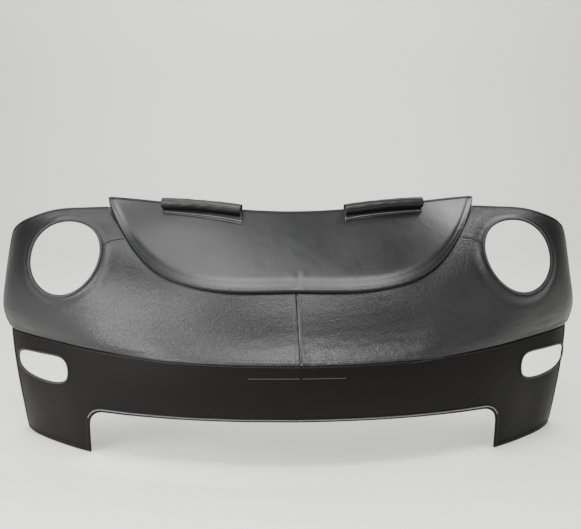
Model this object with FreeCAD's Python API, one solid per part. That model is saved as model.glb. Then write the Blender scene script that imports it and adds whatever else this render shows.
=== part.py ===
# Two-piece front end cover for a small round-nosed car, modelled as it sits when fitted.
# X runs across the car, Y runs back from the nose, Z is up, all in millimetres.
# The origin is the foremost point of the crest seam, on the centre line.
# The lower piece covers the nose, the fender fronts and the bumper.
# The upper piece covers the leading edge of the hood and carries two padded rolls.
import FreeCAD, Part
import math
import os

V = FreeCAD.Vector

# sheet, seams and hems
sheet = 2.0
seam_gap = 0.4
seat = 0.25
allowance_depth = 11.0
allowance_thick = 2.4
hem_width = 13.0
hem_outside = 1.0
hem_inside = 1.4
hem_wrap = 1.6

# crest seam in plan, from its quarter point to the wheel arch and just beyond
crest_quarter = (302.0, 48.0)
crest_shoulder = (440.0, 113.0)
crest_pod_inner = (545.0, 184.0)
crest_pod_middle = (650.0, 277.0)
crest_pod_outer = (745.0, 363.0)
crest_arch = (838.0, 474.0)
crest_beyond = (856.0, 610.0)

# wheel arch and side hem, seen from the side
axle_y = 795.0
axle_z = -120.0
arch_radius = 350.0
side_hem_low_z = 120.0
shoulder_y = 492.0
shoulder_z = 345.0

# fender hem in plan, from the hood corner to the shoulder
fender_hem_plan = [(527.0, 426.0), (600.0, 420.0), (690.0, 428.0), (765.0, 454.0), (812.0, 494.0)]

# lower edge and grille notch, seen from the front
grille_hem_z = -160.0
grille_hem_drop = 11.0
notch_half = 568.0
notch_corner = 34.0
bottom_z = -300.0

# hood piece in plan, and its dome
hood_corner = (529.0, 427.0)
hood_knee = (430.0, 221.0)
hood_shoulder = (360.0, 155.0)
hood_quarter = (250.0, 110.0)
hood_front_y = 95.0
hood_rear_y = 290.0
hood_front_z = 190.0
hood_rise = 1.08
hood_flatten = 0.0009
hood_crown = 52.0
hood_crown_power = 2.4
lip_drop = 13.0
lip_reach = 42.0
hood_rear_turn = 2.0
hood_hem_share = 0.025

# folded facing under the lip, and the flap of the nose piece that goes on under it
facing_inset = 0.4
facing_width = 34.0
facing_thick = 1.6
facing_end_share = 0.02
flap_inset = 2.0
flap_width = 44.0
flap_end_share = 0.03

# how closely the forms are followed: stations, and shares of each form's length
hood_columns = 33
hood_reach = 0.985
hood_lines = (0, 0.03, 0.07, 0.12, 0.19, 0.29, 0.42, 0.56, 0.70, 0.85, 1.0)
hood_grid = 23
hood_levels = (0, 0.03, 0.07, 0.14, 0.22, 0.32, 0.5, 0.75, 1.0)
lip_stations = 41
rib_stations = 13
nose_grid = (15, 11)
bumper_grid = (13, 9)

# share of a rib left open above the crest seam for the stitching
seam_reach = 0.005

# where the sewn allowances run: shares of the crest seam, and heights on the centre seam
crest_allowance_span = (0.005, 0.84)
nose_allowance_z = (8.0, 150.0)
bumper_allowance_z = (-140.0, -50.0)
allowance_stations = 16

# headlight opening: an oval on a slanted axis
lamp_centre = (648.0, 270.0, 246.0)
lamp_half_width = 124.0
lamp_half_height = 106.0
lamp_turn = 23.0
lamp_lean = 12.0
binding_width = 5.0

# turn signal opening, seen from the front, sewn a little further out on the right
signal_inner_x = 640.0
signal_outer_x = 811.0
signal_top_z = -38.0
signal_bottom_z = -117.0
signal_shift_left = -12.0
signal_shift_right = 6.0

# number plate slit in the bumper panel
plate_half = 127.0
plate_z = -36.0
plate_slit = 1.6

# padded rolls on the rear hem of the hood piece
roll_radius = 15.0
roll_skin = 1.6
roll_inner = (143.0, 287.0)
roll_outer = (362.0, 335.0)
roll_flange = 11.0
roll_flange_back = 2.0
roll_recess = 3.0

parts = {}


def both_sides(name, shape):
    parts[name + "_right"] = shape
    parts[name + "_left"] = shape.mirror(V(0, 0, 0), V(1, 0, 0))


def curve(points):
    result = Part.BSplineCurve()
    result.interpolate(points)
    return result


def at_fractions(line, count):
    first, last = line.FirstParameter, line.LastParameter
    return [first + (last - first) * i / (count - 1) for i in range(count)]


# Each rib is a section of the nose at one place along the crest seam.
# It starts at its foot on the seam and lists setback and height along its heading.
# A positive heading leans the section away from the centre line.
def rib(foot, heading, profile):
    turn = math.radians(heading)
    return [V(foot[0] + back * math.sin(turn), foot[1] + back * math.cos(turn), up)
            for back, up in profile]


def upper_ribs():
    return [
        rib((0, 0), 0, [(0, 0), (16, 18), (35, 45), (63, 105), (94, 162), (116, 201), (150, 245), (200, 292)]),
        rib(crest_quarter, 0, [(0, 1), (14, 18), (29, 46), (48, 108), (72, 174), (98, 219), (135, 266), (185, 314)]),
        rib(crest_shoulder, 15, [(0, 2), (6, 20), (15, 50), (38, 125), (95, 237), (170, 304), (262, 355), (352, 376)]),
        rib(crest_pod_inner, 8, [(0, 3), (0, 22), (2, 55), (10, 135), (40, 225), (90, 298), (165, 349), (278, 375)]),
        rib(crest_pod_middle, 0, [(0, 5), (-6, 24), (-12, 60), (-22, 140), (-14, 222), (22, 302), (85, 351), (190, 374)]),
        rib(crest_pod_outer, -20, [(0, 7), (-6, 26), (-12, 62), (-16, 140), (-4, 217), (25, 294), (62, 348), (122, 370)]),
        rib(crest_arch, -80, [(0, 10), (-12, 30), (-17, 66), (-9, 135), (2, 200), (13, 266), (27, 314), (88, 352)]),
        rib(crest_beyond, -90, [(0, 12), (-8, 30), (-12, 66), (-4, 135), (8, 200), (19, 266), (37, 316), (98, 354)]),
    ]


def lower_ribs():
    return [
        rib((0, 0), 0, [(130, -320), (78, -235), (38, -162), (9, -95), (1, -30), (0, 0)]),
        rib(crest_quarter, 0, [(115, -320), (70, -235), (34, -162), (8, -95), (1, -30), (0, 1)]),
        rib(crest_shoulder, -8, [(75, -320), (45, -235), (22, -162), (5, -95), (0, -30), (0, 2)]),
        rib(crest_pod_inner, -20, [(36, -320), (20, -235), (9, -160), (1, -92), (-1, -28), (0, 3)]),
        rib(crest_pod_middle, -35, [(24, -320), (13, -235), (4, -160), (-2, -90), (-2, -26), (0, 5)]),
        rib(crest_pod_outer, -45, [(30, -320), (16, -235), (5, -160), (-2, -88), (-2, -24), (0, 7)]),
        rib(crest_arch, -60, [(48, -320), (28, -235), (12, -160), (2, -85), (-1, -20), (0, 10)]),
        rib(crest_beyond, -80, [(56, -320), (34, -235), (16, -160), (5, -84), (0, -18), (0, 12)]),
    ]


def surface_through(rows):
    result = Part.BSplineSurface()
    result.interpolate(rows)
    return result


# A calmer surface that follows a dense grid without passing through each point
def surface_along(rows):
    def spans(count):
        return [4] + [1] * (count - 4) + [4], [float(i) for i in range(count - 2)]

    (u_repeats, u_knots), (v_repeats, v_knots) = spans(len(rows)), spans(len(rows[0]))
    result = Part.BSplineSurface()
    result.buildFromPolesMultsKnots(rows, u_repeats, v_repeats, u_knots, v_knots, False, False, 3, 3)
    return result


def ribbed_surface(ribs):
    right = [curve(points).discretize(Number=rib_stations) for points in ribs]
    left = [[V(-p.x, p.y, p.z) for p in row] for row in reversed(right[1:])]
    return surface_through(left + right)


# Outer form of the hood piece, a dome whose front lip rolls down over the hood's edge
def hood_front_curve(inset=0.0):
    half = [(0, hood_front_y), hood_quarter, hood_shoulder, hood_knee, hood_corner]
    line = curve([V(-x, y, 0) for x, y in reversed(half[1:])] + [V(x, y, 0) for x, y in half])
    if inset == 0:
        return line
    moved = []
    for t in at_fractions(line, 33):
        along = line.tangent(t)[0]
        moved.append(line.value(t) + V(-along.y, along.x, 0) * inset)
    return curve(moved)


def hood_rear(x):
    return hood_rear_y + (hood_corner[1] - hood_rear_y) * (x / hood_corner[0]) ** 2


def dome_height(x, y):
    back = y - hood_front_y
    centre = hood_front_z + hood_rise * back - hood_flatten * back * back
    return centre - hood_crown * (abs(x) / hood_corner[0]) ** hood_crown_power


def dome_normal(x, y):
    slope_x = dome_height(x + 0.5, y) - dome_height(x - 0.5, y)
    slope_y = dome_height(x, y + 0.5) - dome_height(x, y - 0.5)
    return V(-slope_x, -slope_y, 1).normalize()


def hood_height(x, y, distance):
    near = max(0.0, 1 - distance / lip_reach)
    fade = 1 - min(1.0, abs(x) / hood_corner[0]) ** 8
    return dome_height(x, y) - lip_drop * near * near * fade


def hood_surface():
    front = hood_front_curve()
    edge = [front.value(t) for t in at_fractions(front, 181)]
    half_length = front.length() / 2
    rows = []
    for i in range(hood_columns):
        share = hood_reach * (2 * i / (hood_columns - 1) - 1)
        foot = front.value(front.parameterAtDistance(half_length * (1 + share), front.FirstParameter))
        x = hood_corner[0] * share
        top = V(x, hood_rear(x) + hood_rear_turn, 0)
        row = []
        for fraction in hood_lines:
            p = foot + (top - foot) * fraction
            distance = min(p.distanceToPoint(q) for q in edge)
            row.append(V(p.x, p.y, hood_height(p.x, p.y, distance)))
        rows.append(row)
    return surface_through(rows)


def even(first, last, count):
    return [first + (last - first) * i / (count - 1) for i in range(count)]


# A form is a grid of places on a surface, each with its outward normal
def form_of(surface, across, along):
    u0, u1, v0, v1 = surface.bounds()
    places = [[(u0 + (u1 - u0) * a, v0 + (v1 - v0) * b) for b in along] for a in across]
    return [[(surface.value(u, v), surface.normal(u, v)) for u, v in row] for row in places]


def layer(form, offset):
    return surface_along([[place + normal * offset for place, normal in row] for row in form])


# A sheet between two layers of one form, closed by ruled edges
def skin(form, outer, inner):
    faces, borders = [], []
    for side in (layer(form, outer), layer(form, inner)):
        a0, a1, b0, b1 = side.bounds()
        faces.append(side.toShape())
        borders.append([side.uIso(a0), side.uIso(a1), side.vIso(b0), side.vIso(b1)])
    for a, b in zip(*borders):
        faces.append(Part.makeRuledSurface(a.toShape(), b.toShape(), 1))
    return closed(faces)


def wrap(form):
    return skin(form, hem_outside, -sheet - hem_inside)


def closed(faces):
    shell = Part.Shell(faces)
    shell.sewShape()
    solid = Part.Solid(shell)
    if solid.Volume < 0:
        solid.reverse()
    return solid


# A strip whose section has four corners, each corner following its own curve
def strip(corners):
    lines = [curve(points).toShape() for points in corners]
    faces = [Part.makeRuledSurface(lines[i], lines[(i + 1) % 4], 1) for i in range(4)]
    for end in (0, -1):
        a, b, c, d = (points[end] for points in corners)
        faces.append(Part.makeRuledSurface(line_edge(a, b), line_edge(d, c), 1))
    return closed(faces)


def prism(edges, along):
    return Part.Face(Part.Wire(edges)).extrude(along)


def line_edge(a, b):
    return Part.LineSegment(a, b).toShape()


def chain(points):
    return [line_edge(a, b) for a, b in zip(points, points[1:])]


# Everything behind the right half of the hood line and the fender hem, the hem moved forward by a margin
def behind_top_edge(margin):
    line = hood_front_curve(flap_inset)
    smile = [p for p in (line.value(t) for t in at_fractions(line, 65)) if p.x > -30]
    hem = [smile[-1]] + [V(x, y - margin, 0) for x, y in fender_hem_plan[1:]]
    outer = [hem[-1], V(960, 640, 0), V(960, 900, 0), V(smile[0].x, 900, 0), smile[0]]
    edges = [curve(smile).toShape(), curve(hem).toShape()] + chain(outer)
    for edge in edges:
        edge.translate(V(0, 0, 80))
    return prism(edges, V(0, 0, 420))


# Everything behind the wheel arch and the side hem, moved forward by a margin
def behind_side_edge(margin):
    radius = arch_radius + margin

    def on_arch(z):
        return V(-1000, axle_y - math.sqrt(radius ** 2 - (z - axle_z) ** 2), z)

    low, middle, high = on_arch(bottom_z - 60), on_arch(axle_z), on_arch(side_hem_low_z)
    shoulder = V(-1000, shoulder_y - margin, shoulder_z)
    edges = [Part.Arc(low, middle, high).toShape()]
    edges += chain([high, shoulder, V(-1000, shoulder.y - 20, 460), V(-1000, 900, 460), V(-1000, 900, low.z), low])
    return prism(edges, V(2000, 0, 0))


# Everything under the lower edge, with the notch for the grille, moved up by a margin
def below_lower_edge(margin):
    crown = grille_hem_z + margin
    top = crown - grille_hem_drop
    bottom = bottom_z + margin
    half = notch_half + margin
    corner = notch_corner + margin
    diagonal = corner * (1 - math.sqrt(0.5))
    y = -60

    def end(sign):
        return (V(sign * half, y, top - corner), V(sign * (half - diagonal), y, top - diagonal),
                V(sign * (half - corner), y, top))

    left, right = end(-1), end(1)
    edges = chain([V(-950, y, -420), V(-950, y, bottom), V(-half, y, bottom), left[0]])
    edges.append(Part.Arc(*left).toShape())
    edges.append(Part.Arc(left[2], V(0, y, crown), right[2]).toShape())
    edges.append(Part.Arc(right[2], right[1], right[0]).toShape())
    edges += chain([right[0], V(half, y, bottom), V(950, y, bottom), V(950, y, -420), V(-950, y, -420)])
    return prism(edges, V(0, 900, 0))


# A closed curve as a wire of four edges
def quartered(loop):
    stops = at_fractions(loop, 5)
    return Part.Wire([loop.toShape(a, b) for a, b in zip(stops, stops[1:])])


def lamp_axis():
    turn, lean = math.radians(lamp_turn), math.radians(lamp_lean)
    out = V(math.sin(turn) * math.cos(lean), -math.cos(turn) * math.cos(lean), math.sin(lean))
    return V(*lamp_centre), out, V(math.cos(turn), math.sin(turn), 0)


def lamp_hole(margin):
    centre, out, across = lamp_axis()
    oval = Part.Ellipse(centre + across * (lamp_half_width + margin),
                        centre + across.cross(out) * (lamp_half_height + margin), centre)
    face = Part.Face(quartered(oval))
    face.translate(out * -110)
    return face.extrude(out * 220)


def signal_hole(margin, shift):
    low_x, low_z = signal_inner_x + shift - margin, signal_bottom_z - margin
    width = signal_outer_x + shift + margin - low_x
    height = signal_top_z + margin - low_z
    outline = [(0.08, 0.96), (0.45, 1.0), (0.86, 0.95), (0.99, 0.70), (0.96, 0.36),
               (0.74, 0.09), (0.35, 0.0), (0.08, 0.14), (0.0, 0.48)]
    loop = Part.BSplineCurve()
    loop.interpolate(Points=[V(low_x + a * width, 150, low_z + b * height) for a, b in outline], PeriodicFlag=True)
    return Part.Face(quartered(loop)).extrude(V(0, 450, 0))


def right_of_seam():
    return Part.makeBox(1200, 1400, 1200, V(seam_gap / 2, -300, -500))


def box_between(low, high):
    return Part.makeBox(high[0] - low[0], high[1] - low[1], high[2] - low[2], V(*low))


def nose_side(form):
    panel = skin(form, 0, -sheet).cut(behind_side_edge(hem_wrap))
    panel = panel.cut(behind_top_edge(hem_wrap)).cut(lamp_hole(0)).common(right_of_seam())
    both_sides("nose_panel", biggest(panel))
    thick = wrap(form).cut(behind_side_edge(0))
    top_band = thick.common(behind_top_edge(hem_width)).cut(behind_top_edge(0))
    side_band = thick.cut(behind_top_edge(0)).common(behind_side_edge(hem_width)).cut(top_band)
    ring = thick.common(lamp_hole(binding_width)).cut(lamp_hole(-hem_wrap))
    both_sides("fender_hem", biggest(top_band.cut(panel)))
    both_sides("nose_side_hem", biggest(side_band.cut(panel)))
    both_sides("headlight_binding", biggest(ring.cut(panel)))


def biggest(shape):
    return max(shape.Solids, key=lambda s: s.Volume)


def bumper_side(form, shift):
    panel = skin(form, 0, -sheet).common(right_of_seam())
    panel = panel.cut(behind_side_edge(hem_wrap)).cut(below_lower_edge(hem_wrap)).cut(signal_hole(0, shift))
    slit = box_between((-plate_half, -60, plate_z - plate_slit / 2), (plate_half, 140, plate_z + plate_slit / 2))
    panel = biggest(panel.cut(slit))
    thick = wrap(form)
    ring = thick.common(signal_hole(binding_width, shift)).cut(signal_hole(-hem_wrap, shift))
    ring = ring.cut(behind_side_edge(hem_width))
    low_band = thick.common(below_lower_edge(hem_width)).cut(below_lower_edge(0)).cut(behind_side_edge(0))
    low_band = low_band.common(right_of_seam())
    arch_band = thick.common(behind_side_edge(hem_width)).cut(behind_side_edge(0)).cut(below_lower_edge(hem_width))
    return {"bumper_panel": panel, "lower_hem": biggest(low_band.cut(panel)),
            "arch_hem": biggest(arch_band.cut(panel)), "signal_binding": biggest(ring.cut(panel))}


# Sewn allowances stand inside along each seam
def crest_allowance(upper_form, lower_form):
    upper, lower = layer(upper_form, -sheet), layer(lower_form, -sheet)
    half = allowance_thick / 2
    corners = [[], [], [], []]
    for share in even(*crest_allowance_span, allowance_stations):
        p, q = upper.value(share * u_end(upper), 0), lower.value(share * u_end(lower), v_end(lower))
        n = upper.normal(share * u_end(upper), 0)
        inward = V(-n.x, -n.y, 0).normalize()
        start = max((q - p).dot(inward), 0) + half * abs(n.z) / -n.dot(inward) + seat
        near, far = p + inward * start, p + inward * (start + allowance_depth)
        for k, (place, rise) in enumerate(((near, half), (far, half), (far, -half), (near, -half))):
            corners[k].append(V(place.x, place.y, p.z + rise))
    return strip(corners)


def u_end(surface):
    return surface.bounds()[1]


def v_end(surface):
    return surface.bounds()[3]


def centre_allowance(form, low, high):
    inner = layer(form, -sheet)
    shares = [b for b in even(0, 1, 41) if low <= inner.value(0, v_end(inner) * b).z <= high]
    side = V(allowance_thick / 2, 0, 0)
    corners = [[], [], [], []]
    for b in shares:
        p, n = inner.value(0, v_end(inner) * b), inner.normal(0, v_end(inner) * b)
        near, far = p - n * seat, p - n * allowance_depth
        for k, place in enumerate([near + side, far + side, far - side, near - side]):
            corners[k].append(place)
    return strip(corners)


# A strip along the hood line, from one inset to another, with its top a depth under the lip.
# Its outer edge drops to the surface below when that is given and lies lower.
def under_lip(share, near, far, depth, thick, below=None):
    line = hood_front_curve()
    corners = [[], [], [], []]
    for t in even(share, 1 - share, lip_stations):
        t = line.parameterAtDistance(line.length() * t, line.FirstParameter)
        p, along = line.value(t), line.tangent(t)[0]
        inward = V(-along.y, along.x, 0)
        top = hood_height(p.x, p.y, 0) - depth
        outer, inner = p + inward * near, p + inward * far
        edge = min(top, height_on(below, outer)) if below else top
        for k, (q, z) in enumerate(((outer, edge), (inner, top), (inner, top - thick), (outer, edge - thick))):
            corners[k].append(V(q.x, q.y, z))
    return strip(corners)


# Height of a surface of the right half at a place in plan on either half
def height_on(surface, place):
    upright = Part.LineSegment(V(abs(place.x), place.y, 0), V(abs(place.x), place.y, 600))
    return max(point.Z for point in upright.intersectCS(surface)[0])


def roll_place(share, lift, forward=0.0):
    x = roll_inner[0] + (roll_outer[0] - roll_inner[0]) * share
    y = roll_inner[1] + (roll_outer[1] - roll_inner[1]) * share - forward
    return V(x, y, dome_height(x, y)) + dome_normal(x, y) * lift


def roll_path(lift, ends):
    return Part.Arc(roll_place(ends, lift), roll_place(0.5, lift), roll_place(1 - ends, lift)).toShape()


def roll_tube(radius, ends):
    lift = seat + roll_radius
    path = roll_path(lift, ends)
    start = path.valueAt(path.FirstParameter)
    ring = Part.makeCircle(radius, start, path.tangentAt(path.FirstParameter))
    return Part.Wire(path).makePipeShell([Part.Wire(ring)], True, True)


def roll_sleeve():
    tube = roll_tube(roll_radius, 0).cut(roll_tube(roll_radius - roll_skin, 0))
    low = seat
    corners = [[], [], [], []]
    for share in even(0, 1, 5):
        reach = roll_radius + roll_flange
        for k, (lift, forward) in enumerate([(low, roll_flange_back), (low + roll_skin, roll_flange_back),
                                             (low + roll_skin, reach), (low, reach)]):
            corners[k].append(roll_place(share, lift, forward))
    return tube.fuse(strip(corners))


def roll_core():
    a, b = roll_place(0, 0), roll_place(1, 0)
    return roll_tube(roll_radius - roll_skin - seat, roll_recess / a.distanceToPoint(b))


def hood_piece(upper_form):
    form = form_of(hood_surface(), even(0, 1, hood_grid), hood_levels)
    parts["hood_panel"] = skin(form, 0, -sheet)
    rear = form_of(layer(form, 0), even(0, 1, hood_grid), even(1 - hood_hem_share, 1, 4))
    parts["hood_rear_hem"] = skin(rear, -sheet - seat, -sheet - seat - hem_inside)
    facing_top = sheet + seat
    parts["hood_facing"] = under_lip(facing_end_share, facing_inset, facing_width, facing_top, facing_thick)
    flap_top = facing_top + facing_thick + seat
    nose = layer(upper_form, 0)
    parts["nose_flap"] = under_lip(flap_end_share, flap_inset + seat, flap_width, flap_top, sheet, nose)


def build():
    upper_form = form_of(ribbed_surface(upper_ribs()), even(0.5, 1, nose_grid[0]), even(seam_reach, 1, nose_grid[1]))
    lower_form = form_of(ribbed_surface(lower_ribs()), even(0.5, 1, bumper_grid[0]), even(0, 1, bumper_grid[1]))
    nose_side(upper_form)
    right, left = bumper_side(lower_form, signal_shift_right), bumper_side(lower_form, signal_shift_left)
    for name in ("bumper_panel", "arch_hem", "signal_binding", "lower_hem"):
        parts[name + "_right"] = right[name]
        parts[name + "_left"] = left[name].mirror(V(0, 0, 0), V(1, 0, 0))
    both_sides("crest_seam_allowance", crest_allowance(upper_form, lower_form))
    parts["nose_seam_allowance"] = centre_allowance(upper_form, *nose_allowance_z)
    parts["bumper_seam_allowance"] = centre_allowance(lower_form, *bumper_allowance_z)
    hood_piece(upper_form)
    both_sides("roll_sleeve", roll_sleeve())
    both_sides("roll_core", roll_core())


if __name__ == "__main__":
    os.makedirs("parts", exist_ok=True)
    build()
    for name, shape in parts.items():
        print(name, len(shape.Solids), shape.isValid(), round(shape.Volume / 1000, 1))
        shape.exportStep("parts/" + name + ".step")
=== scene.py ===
import math
import bmesh
import bpy
import numpy as np
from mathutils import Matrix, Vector
from mathutils.bvhtree import BVHTree


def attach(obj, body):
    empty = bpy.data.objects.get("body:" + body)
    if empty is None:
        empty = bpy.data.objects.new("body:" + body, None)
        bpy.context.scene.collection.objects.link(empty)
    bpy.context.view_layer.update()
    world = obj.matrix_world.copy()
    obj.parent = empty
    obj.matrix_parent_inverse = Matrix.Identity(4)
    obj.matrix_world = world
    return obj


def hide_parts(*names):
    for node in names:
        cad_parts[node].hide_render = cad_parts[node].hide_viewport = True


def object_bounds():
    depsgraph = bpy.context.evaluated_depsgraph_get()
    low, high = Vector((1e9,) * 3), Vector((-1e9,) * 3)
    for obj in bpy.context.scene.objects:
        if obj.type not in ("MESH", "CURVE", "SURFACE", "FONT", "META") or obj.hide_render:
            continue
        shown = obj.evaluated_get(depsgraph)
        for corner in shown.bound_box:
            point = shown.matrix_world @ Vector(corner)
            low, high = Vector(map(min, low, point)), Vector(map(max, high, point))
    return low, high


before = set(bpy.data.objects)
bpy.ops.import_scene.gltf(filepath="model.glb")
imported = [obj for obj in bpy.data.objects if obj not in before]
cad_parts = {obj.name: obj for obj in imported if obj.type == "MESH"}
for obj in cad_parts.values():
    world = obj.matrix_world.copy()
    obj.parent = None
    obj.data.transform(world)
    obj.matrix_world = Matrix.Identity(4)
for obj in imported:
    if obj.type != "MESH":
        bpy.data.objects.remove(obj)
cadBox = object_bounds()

millimetre = 0.001
objects = {}


def toLinear(hexText):
    channels = [int(hexText[i:i + 2], 16) / 255 for i in (1, 3, 5)]
    linear = [c / 12.92 if c <= 0.04045 else ((c + 0.055) / 1.055) ** 2.4 for c in channels]
    return (*linear, 1.0)


def smoothStep(value, low, high):
    t = np.clip((value - low) / (high - low), 0, 1)
    return t * t * (3 - 2 * t)


def bump(value, centre, width):
    return np.exp(-((value - centre) / width) ** 2)


def wave(x, y, seed, length, count=7):     # soft uneven ripple, the same each run
    draws = np.random.RandomState(seed)
    total = np.zeros_like(x)
    for _ in range(count):
        angle, phase = draws.uniform(0, math.pi), draws.uniform(0, 2 * math.pi)
        scale = 2 * math.pi / (length * draws.uniform(0.6, 1.7))
        total += np.sin((x * math.cos(angle) + y * math.sin(angle)) * scale + phase)
    return total / count


def splineThrough(stops, values):
    # natural cubic spline through a few places; returns a function of the stop value
    stops, values = np.asarray(stops, float), np.asarray(values, float)
    gaps = np.diff(stops)
    count = len(stops)
    system, load = np.eye(count), np.zeros_like(values)
    for i in range(1, count - 1):
        system[i, i - 1:i + 2] = gaps[i - 1], 2 * (gaps[i - 1] + gaps[i]), gaps[i]
        load[i] = 6 * ((values[i + 1] - values[i]) / gaps[i] - (values[i] - values[i - 1]) / gaps[i - 1])
    bend = np.linalg.solve(system, load)

    def at(t):
        t = np.asarray(t, float)
        i = np.clip(np.searchsorted(stops, t) - 1, 0, count - 2)
        h, a, b = gaps[i], stops[i + 1] - t, t - stops[i]
        if values.ndim > 1:
            h, a, b = h[..., None], a[..., None], b[..., None]
        return (bend[i] * a ** 3 + bend[i + 1] * b ** 3) / (6 * h) \
            + (values[i] / h - bend[i] * h / 6) * a + (values[i + 1] / h - bend[i + 1] * h / 6) * b
    return at


def chordStops(points):
    steps = np.linalg.norm(np.diff(points, axis=0), axis=1)
    return np.concatenate([[0], np.cumsum(steps)]) / steps.sum()


def evenAlong(points, count, fine=600):
    line = splineThrough(chordStops(points), points)(np.linspace(0, 1, fine))
    run = chordStops(line)
    return np.stack([np.interp(np.linspace(0, 1, count), run, line[:, k]) for k in range(3)], axis=1)


def clampedBasis(count, t):
    # weights of a clamped cubic with even spans, one row for each place
    knots = np.concatenate([[0] * 3, np.linspace(0, 1, count - 2), [1] * 3])
    t = np.clip(t, 0, 1 - 1e-9)
    weights = ((knots[:-1] <= t[:, None]) & (t[:, None] < knots[1:])).astype(float)
    for degree in range(1, 4):
        stepped = np.zeros((len(t), weights.shape[1] - 1))
        for i in range(weights.shape[1] - 1):
            left, right = knots[i + degree] - knots[i], knots[i + degree + 1] - knots[i + 1]
            if left > 0:
                stepped[:, i] += (t - knots[i]) / left * weights[:, i]
            if right > 0:
                stepped[:, i] += (knots[i + degree + 1] - t) / right * weights[:, i + 1]
        weights = stepped
    return weights


class Form:
    # a smooth surface that follows a coarse grid of places, read at any (u, v)
    def __init__(self, poles):
        self.poles = poles

    def at(self, u, v):
        a, b = clampedBasis(self.poles.shape[0], u), clampedBasis(self.poles.shape[1], v)
        return np.einsum("ni,ijk,nj->nk", a, self.poles, b)

    def normalAt(self, u, v, step=1e-3):
        along = self.at(np.minimum(u + step, 1), v) - self.at(np.maximum(u - step, 0), v)
        up = self.at(u, np.minimum(v + step, 1)) - self.at(u, np.maximum(v - step, 0))
        n = np.cross(along, up)
        return n / np.maximum(np.linalg.norm(n, axis=1), 1e-9)[:, None]


# forms of the cover, in millimetres, as the solids have them

crestLine = [(0, 0), (302, 48), (440, 113), (545, 184), (650, 277), (745, 363), (838, 474), (856, 610)]

noseRibs = {"headings": [0, 0, 15, 8, 0, -20, -80, -90], "profiles": [
    [(0, 0), (16, 18), (35, 45), (63, 105), (94, 162), (116, 201), (150, 245), (200, 292)],
    [(0, 1), (14, 18), (29, 46), (48, 108), (72, 174), (98, 219), (135, 266), (185, 314)],
    [(0, 2), (6, 20), (15, 50), (38, 125), (95, 237), (170, 304), (262, 355), (352, 376)],
    [(0, 3), (0, 22), (2, 55), (10, 135), (40, 225), (90, 298), (165, 349), (278, 375)],
    [(0, 5), (-6, 24), (-12, 60), (-22, 140), (-14, 222), (22, 302), (85, 351), (190, 374)],
    [(0, 7), (-6, 26), (-12, 62), (-16, 140), (-4, 217), (25, 294), (62, 348), (122, 370)],
    [(0, 10), (-12, 30), (-17, 66), (-9, 135), (2, 200), (13, 266), (27, 314), (88, 352)],
    [(0, 12), (-8, 30), (-12, 66), (-4, 135), (8, 200), (19, 266), (37, 316), (98, 354)]]}

bumperRibs = {"headings": [0, 0, -8, -20, -35, -45, -60, -80], "profiles": [
    [(130, -320), (78, -235), (38, -162), (9, -95), (1, -30), (0, 0)],
    [(115, -320), (70, -235), (34, -162), (8, -95), (1, -30), (0, 1)],
    [(75, -320), (45, -235), (22, -162), (5, -95), (0, -30), (0, 2)],
    [(36, -320), (20, -235), (9, -160), (1, -92), (-1, -28), (0, 3)],
    [(24, -320), (13, -235), (4, -160), (-2, -90), (-2, -26), (0, 5)],
    [(30, -320), (16, -235), (5, -160), (-2, -88), (-2, -24), (0, 7)],
    [(48, -320), (28, -235), (12, -160), (2, -85), (-1, -20), (0, 10)],
    [(56, -320), (34, -235), (16, -160), (5, -84), (0, -18), (0, 12)]]}


def ribbedForm(ribs, across, along, stations=13):
    rows = []
    for foot, heading, profile in zip(crestLine, ribs["headings"], ribs["profiles"]):
        turn = math.radians(heading)
        rib = np.array([(foot[0] + back * math.sin(turn), foot[1] + back * math.cos(turn), up)
                        for back, up in profile])
        rows.append(evenAlong(rib, stations))
    right = np.array(rows)
    whole = np.concatenate([right[:0:-1] * (-1, 1, 1), right])
    stopsU = np.mean([chordStops(whole[:, j]) for j in range(stations)], axis=0)
    stopsV = np.mean([chordStops(row) for row in whole], axis=0)
    grid = splineThrough(stopsU, whole.reshape(len(whole), -1))(across).reshape(len(across), stations, 3)
    poles = np.stack([splineThrough(stopsV, row)(along) for row in grid])
    return Form(poles)


nose = ribbedForm(noseRibs, np.linspace(0.5, 1, 15), np.linspace(0.0008, 1, 11))
bumper = ribbedForm(bumperRibs, np.linspace(0.5, 1, 13), np.linspace(0, 1, 9))

hood = {"corner": (529, 427), "knee": (430, 221), "shoulder": (360, 155), "quarter": (250, 110),
        "frontY": 95, "rearY": 290, "frontZ": 190, "rise": 1.08, "flatten": 0.0009, "crown": 52,
        "crownPower": 2.4, "lipDrop": 11, "lipReach": 24, "lipFade": 8, "underLip": 8.0}

halfLine = [(0, hood["frontY"]), hood["quarter"], hood["shoulder"], hood["knee"], hood["corner"]]
wholeLine = [(-x, y) for x, y in halfLine[:0:-1]] + halfLine
smileLine = evenAlong(np.array([(x, y, 0) for x, y in wholeLine], float), 801, 4000)
smileTangent = np.gradient(smileLine, axis=0)
smileTangent /= np.linalg.norm(smileTangent, axis=1)[:, None]
smileInward = np.stack([-smileTangent[:, 1], smileTangent[:, 0], 0 * smileTangent[:, 0]], axis=1)
insetLine = smileLine + smileInward * hood["underLip"]     # the nose cloth goes on under the lip
fenderHem = np.array([(527, 426, 0), (600, 420, 0), (690, 428, 0), (765, 454, 0), (812, 494, 0)], float)
fenderHemLine = evenAlong(fenderHem, 200)


def domeHeight(x, y):
    back = y - hood["frontY"]
    rise = hood["frontZ"] + hood["rise"] * back - hood["flatten"] * back * back
    return rise - hood["crown"] * (np.abs(x) / hood["corner"][0]) ** hood["crownPower"]


def smileDistance(x, y):
    place = np.stack([x, y], axis=-1).reshape(-1, 1, 2)
    out = []
    for start in range(0, len(place), 2000):
        gap = place[start:start + 2000] - smileLine[None, ::2, :2]
        out.append(np.sqrt((gap ** 2).sum(-1)).min(1))
    return np.concatenate(out).reshape(np.shape(x))


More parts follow.
